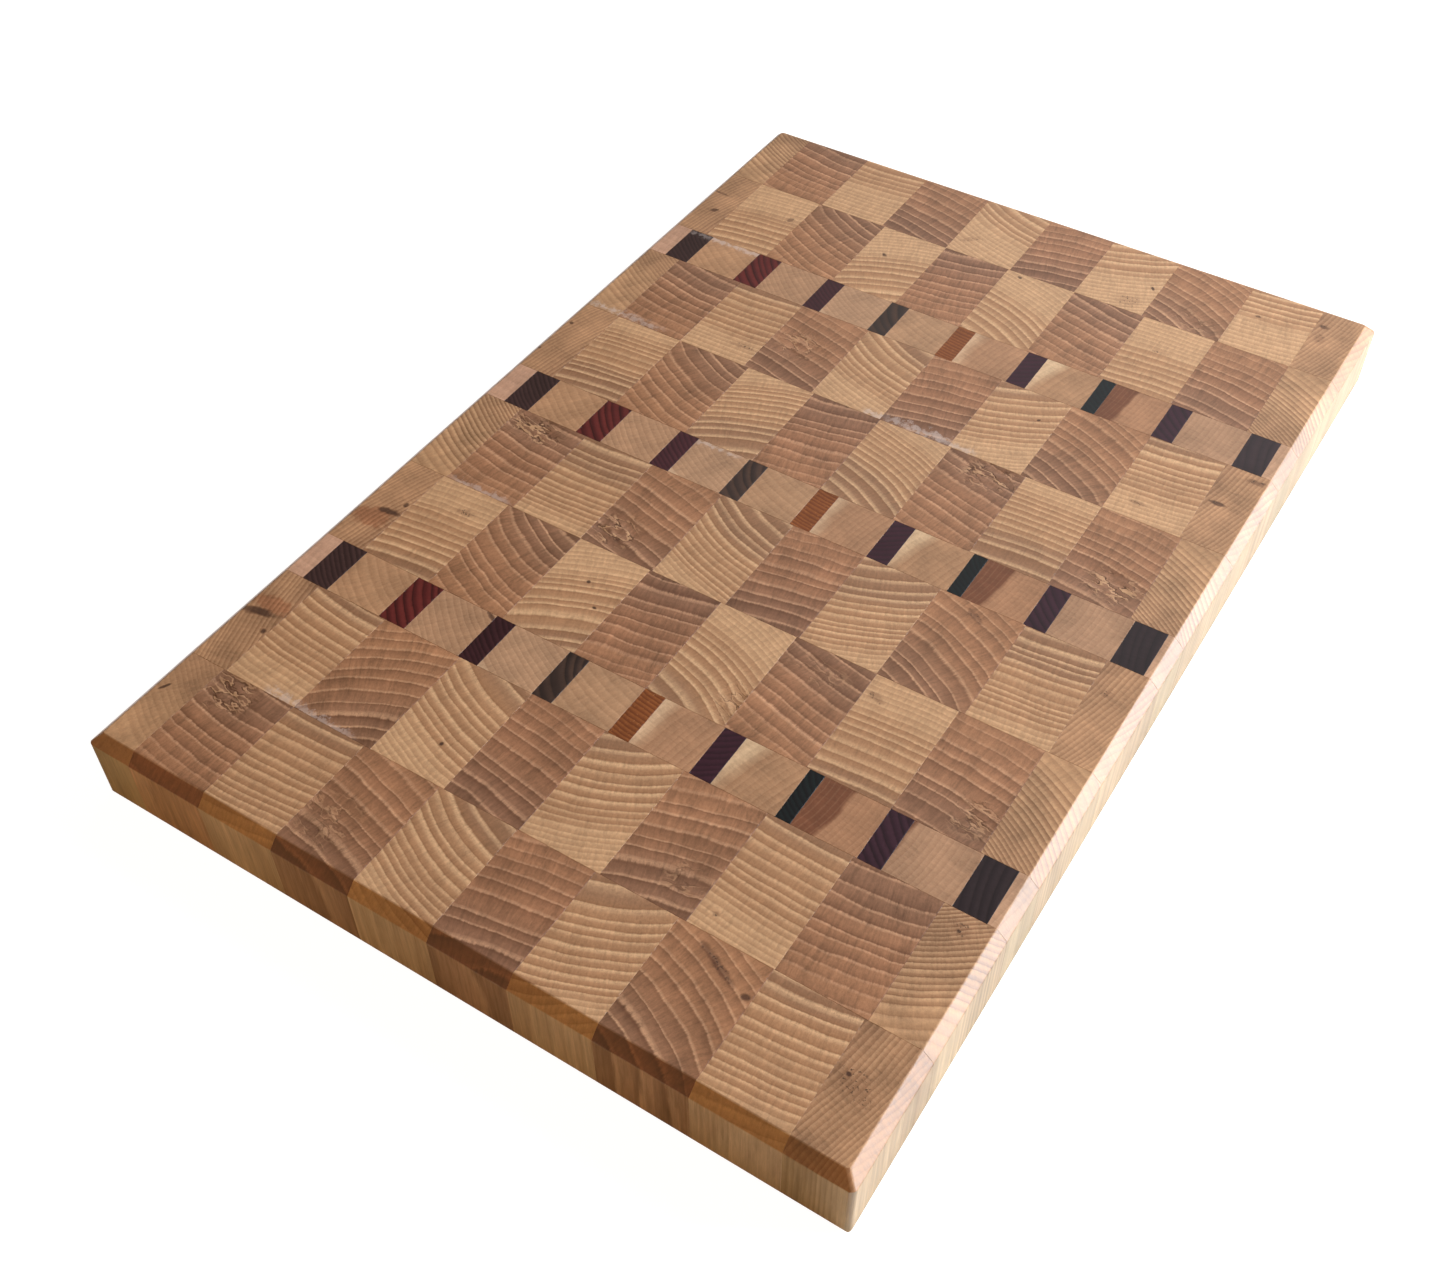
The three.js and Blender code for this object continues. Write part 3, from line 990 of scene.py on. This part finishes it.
def build_row(row):
    """A row of eight blocks between two edge strips, in place of the row's CAD slice."""
    node = f"row_{row}_slice"
    low, high = extent(node)
    front, back = low.y, high.y
    if row in BAND_BEFORE_ROW:
        front = extent(f"band_{BAND_BEFORE_ROW[row]}_spacer_1")[1].y
    way = ROW_WAY[row - 1]
    stick_numbers = list(range(10))
    widths = list(STICK_WIDTHS)
    if way != UPRIGHT:
        stick_numbers.reverse()
        widths.reverse()
    edges = row_edges(row, widths)
    zones_of = {
        "light_hardwood": (HEART_EDGE[row - 1], SAP_EDGE[row - 1]),
        "dark_hardwood": DARK_ZONES,
        "edge_hardwood": EDGE_ZONES,
    }
    for column, stick_number in enumerate(stick_numbers):
        stick = STICKS[stick_number].faded(FAINT_RINGS.get((row, stick_number), 1.0))
        span = (edges[column], edges[column + 1], front, back)
        found = marks_of(span, BLOCK_MARKS.get((row, stick_number), ()))
        name = f"row_{row}_block_{column + 1}"
        order = row + STICK_ORDER * stick_number
        make_piece(name, span, stick, way, order, zones_of[stick.slot], found, node)


for row_number in range(1, 9):
    build_row(row_number)

# ---------------------------------------------------------------- inlaid bands

SPACER_STICKS = (
    Stick("maple_spacer", (10, 120), 3.6, 0.003, (1.34, 1.44, 1.75), 0.6),
    Stick("maple_spacer", (40, 60), 2.6, 0.003, (1.09, 1.11, 1.09)),
    Stick("maple_spacer", (50, 60), 1.8, 0.003, (1.06, 1.11, 1.15)),
    Stick("maple_spacer", (40, 70), 1.8, 0.003, (1.09, 1.18, 1.26)),
    Stick("maple_spacer", (30, 80), 2.6, 0.003, (1.06, 1.12, 1.14)),
    Stick("maple_spacer", (90, -20), 2.0, 0.003, (0.99, 0.98, 0.98)),
    Stick("maple_spacer", (90, -25), 2.2, 0.003, (1.0, 1.02, 1.0)),
    Stick("maple_spacer", (-60, 8), 1.6, 0.003, (0.95, 0.9, 0.88)),
    Stick("maple_spacer", (-80, 10), 1.8, 0.003, (1.0, 1.05, 1.12)),
    Stick("maple_spacer", (-80, 10), 1.8, 0.003, (1.2, 1.3, 1.45)),
)
# Heart and sapwood limits of the spacers, as for the blocks.
SPACER_ZONES = (
    (-40, 30),
    (-40, 14),
    (-40, 15),
    (-40, 13),
    (-40, 13),
    (-40, 7.5),
    (-40, 6.0),
    (-0.5, 30),
    (-9.5, 30),
    (-40, 30),
)
INLAY_STICKS = {
    "black": Stick("black_inlay", (40, 50), 1.5),
    "red": Stick("red_inlay", (30, 28), 2.6),
    "plum": Stick("plum_inlay", (30, 40), 1.6),
    "charcoal": Stick("charcoal_inlay", (16, 12), 3.0),
    "orange": Stick("orange_inlay", (8, 60), 1.4),
    "purple": Stick("purple_inlay", (-40, 60), 2.0),
    "teal": Stick("teal_inlay", (20, 20), 1.6),
    "violet": Stick("violet_inlay", (30, 30), 2.4),
    "jet": Stick("jet_inlay", (60, 10), 2.6),
}
# How light an inlay is in bands 1 to 3, where they differ: partly the inlay's own tone and
# partly painted sheen.
INLAY_TONE_AND_SHEEN = {
    "black": (1.1, 1.0, 0.85),
    "plum": (0.78, 1.25, 1.0),
    "charcoal": (0.9, 1.15, 0.85),
    "teal": (1.0, 1.0, 1.4),
    "jet": (1.0, 1.0, 1.3),
}
# Band and spacer number or inlay name: marks as for the blocks.
BAND_MARKS = {
    (2, 3): [("smear", 0.4, 0.06, 10, 1.3, 0, 0.8)],
    (3, 1): [("smear", 0.5, 0.06, 17, 1.7, 0, 0.9)],
    (3, "black"): [("smear", 0.5, 0.06, 5.5, 1.7, 0, 0.5)],
    (1, 2): [("knot", 0.93, 0.06, 3.2, 1.0, -30, 0.3)],
}


def build_band(band):
    """A band of nine inlays and ten spacers. Its end spacers belong to the CAD slice behind it."""
    for number in range(1, 9):
        node = f"band_{band}_spacer_{number}"
        low, high = extent(node)
        add_spacer(band, number, (low.x, high.x, low.y, high.y), node)
    first_low, first_high = extent(f"band_{band}_inlay_1_black")
    last_high = extent(f"band_{band}_inlay_9_jet")[1]
    slice_behind = f"row_{ROW_AFTER_BAND[band]}_slice"
    add_spacer(band, 0, (LEFT, first_low.x, first_low.y, first_high.y), slice_behind)
    add_spacer(band, 9, (last_high.x, RIGHT, first_low.y, first_high.y), slice_behind)
    for number, name in enumerate(INLAYS, 1):
        add_inlay(band, number, name)


def add_spacer(band, number, span, node):
    """A maple spacer of a band. They are numbered from 0 on the left to 9 on the right."""
    found = marks_of(span, BAND_MARKS.get((band, number), ()))
    order = band * 2 + STICK_ORDER * number + SPACER_ORDER
    name = f"band_{band}_maple_{number}"
    make_piece(
        name, span, SPACER_STICKS[number], UPRIGHT, order, SPACER_ZONES[number], found, node
    )


def add_inlay(band, number, name):
    """A dark inlay of a band. They are numbered from 1 on the left to 9 on the right."""
    node = f"band_{band}_inlay_{number}_{name}"
    low, high = extent(node)
    span = (low.x, high.x, low.y, high.y)
    # Its band's lightness is partly its own tone and partly painted sheen.
    stick = INLAY_STICKS[name].shaded(INLAY_TONE_AND_SHEEN.get(name, (1, 1, 1))[band - 1])
    found = marks_of(span, BAND_MARKS.get((band, name), ()))
    order = band * 2 + STICK_ORDER * number + INLAY_ORDER
    make_piece(node + "_wood", span, stick, UPRIGHT, order, NO_ZONES, found, node)


for band_number in (1, 2, 3):
    build_band(band_number)

# ---------------------------------------------------------------- floor and light


def make_plane(name, material, height, low=(-6, -6), high=(6, 6)):
    """A level rectangle, in metres."""
    mesh = bpy.data.meshes.new(name)
    corners = [(low[0], low[1]), (high[0], low[1]), (high[0], high[1]), (low[0], high[1])]
    mesh.from_pydata([(x, y, height) for x, y in corners], [], [(0, 1, 2, 3)])
    mesh.materials.append(material)
    plane = bpy.data.objects.new(name, mesh)
    bpy.context.scene.collection.objects.link(plane)
    return plane


def plain(name, albedo, glow):
    """A plain matt material that also gives off white light."""
    g = Graph(name)
    g.surface(
        Base_Color=(*albedo, 1),
        Roughness=0.9,
        Specular_IOR_Level=0.2,
        Emission_Color=(1, 1, 1, 1),
        Emission_Strength=glow,
    )
    return g.material


def make_floor():
    """A pale floor to look at, and under it tables that the camera doesn't see.

    The warm table and the bright one on the right light the board. The one on the left shows
    only as a pale rim in the shine of the left chamfer.
    """
    floor = make_plane("floor", plain("pale_floor", (0.3, 0.3, 0.3), glow=0.96), height=0.0)
    floor.visible_diffuse = False
    floor.visible_glossy = False
    floor.visible_shadow = False
    warm = plain("warm_table", (0.78, 0.7, 0.52), glow=0.0)
    table = make_plane("table", warm, height=-0.0005)
    table.visible_camera = False
    bright = plain("bright_table", (0.7, 0.7, 0.7), glow=0.2)
    beside = make_plane("bright_side", bright, -0.0003, low=(0.12, -0.3), high=(1.2, 1.2))
    beside.visible_camera = False
    rim = plain("rim_table", (0.7, 0.7, 0.7), glow=1.0)
    behind = make_plane("rim_side", rim, -0.0002, low=(-1.2, -0.17), high=(-0.119, 1.2))
    behind.visible_camera = False
    behind.visible_diffuse = False
    behind.visible_shadow = False


def area_light(name, towards, distance, size, radiance, tint=(1, 1, 1)):
    """A square soft light, seen from the board's middle in that direction.

    distance and size are in metres. radiance is how bright its face is, however large.
    """
    data = bpy.data.lights.new(name, "AREA")
    data.shape = "SQUARE"
    data.size = size
    data.energy = radiance * math.pi * size * size
    data.color = tint
    light = bpy.data.objects.new(name, data)
    away = Vector(towards).normalized()
    light.location = away * distance
    light.rotation_mode = "QUATERNION"
    light.rotation_quaternion = away.to_track_quat("Z", "Y")
    bpy.context.scene.collection.objects.link(light)
    return light


def make_world():
    """White to look at, and dim and warm as a light."""
    world = bpy.data.worlds.new("world")
    world.use_nodes = True
    nodes, links = world.node_tree.nodes, world.node_tree.links
    nodes.clear()
    seen = nodes.new("ShaderNodeBackground")
    seen.inputs["Color"].default_value = (1, 1, 1, 1)
    seen.inputs["Strength"].default_value = 1.0
    lit = nodes.new("ShaderNodeBackground")
    lit.inputs["Color"].default_value = (1.0, 0.72, 0.42, 1)
    lit.inputs["Strength"].default_value = 0.1
    path = nodes.new("ShaderNodeLightPath")
    mix = nodes.new("ShaderNodeMixShader")
    output = nodes.new("ShaderNodeOutputWorld")
    links.new(path.outputs["Is Camera Ray"], mix.inputs["Fac"])
    links.new(lit.outputs["Background"], mix.inputs[1])
    links.new(seen.outputs["Background"], mix.inputs[2])
    links.new(mix.outputs["Shader"], output.inputs["Surface"])
    bpy.context.scene.world = world


def make_lights():
    """The window gives no shine. The glint gives nothing else, and gleams on the chamfer."""
    window = area_light("window", (0.743, 0.563, 0.363), distance=1.5, size=0.9, radiance=23.3)
    window.visible_glossy = False
    area_light("sky", (-0.05, 0.82, 0.57), distance=1.5, size=1.2, radiance=0.7)
    cool = (0.66, 0.86, 1.0)
    glint = area_light("glint", (0.88, 0.45, 0.15), 1.6, size=1.4, radiance=15.0, tint=cool)
    glint.visible_diffuse = False
    warm = (1.0, 0.58, 0.26)
    area_light("room", (-0.25, -0.85, 0.45), 1.5, size=2.0, radiance=0.8, tint=warm)


make_floor()
make_world()
make_lights()
bpy.context.scene.view_settings.view_transform = "Standard"
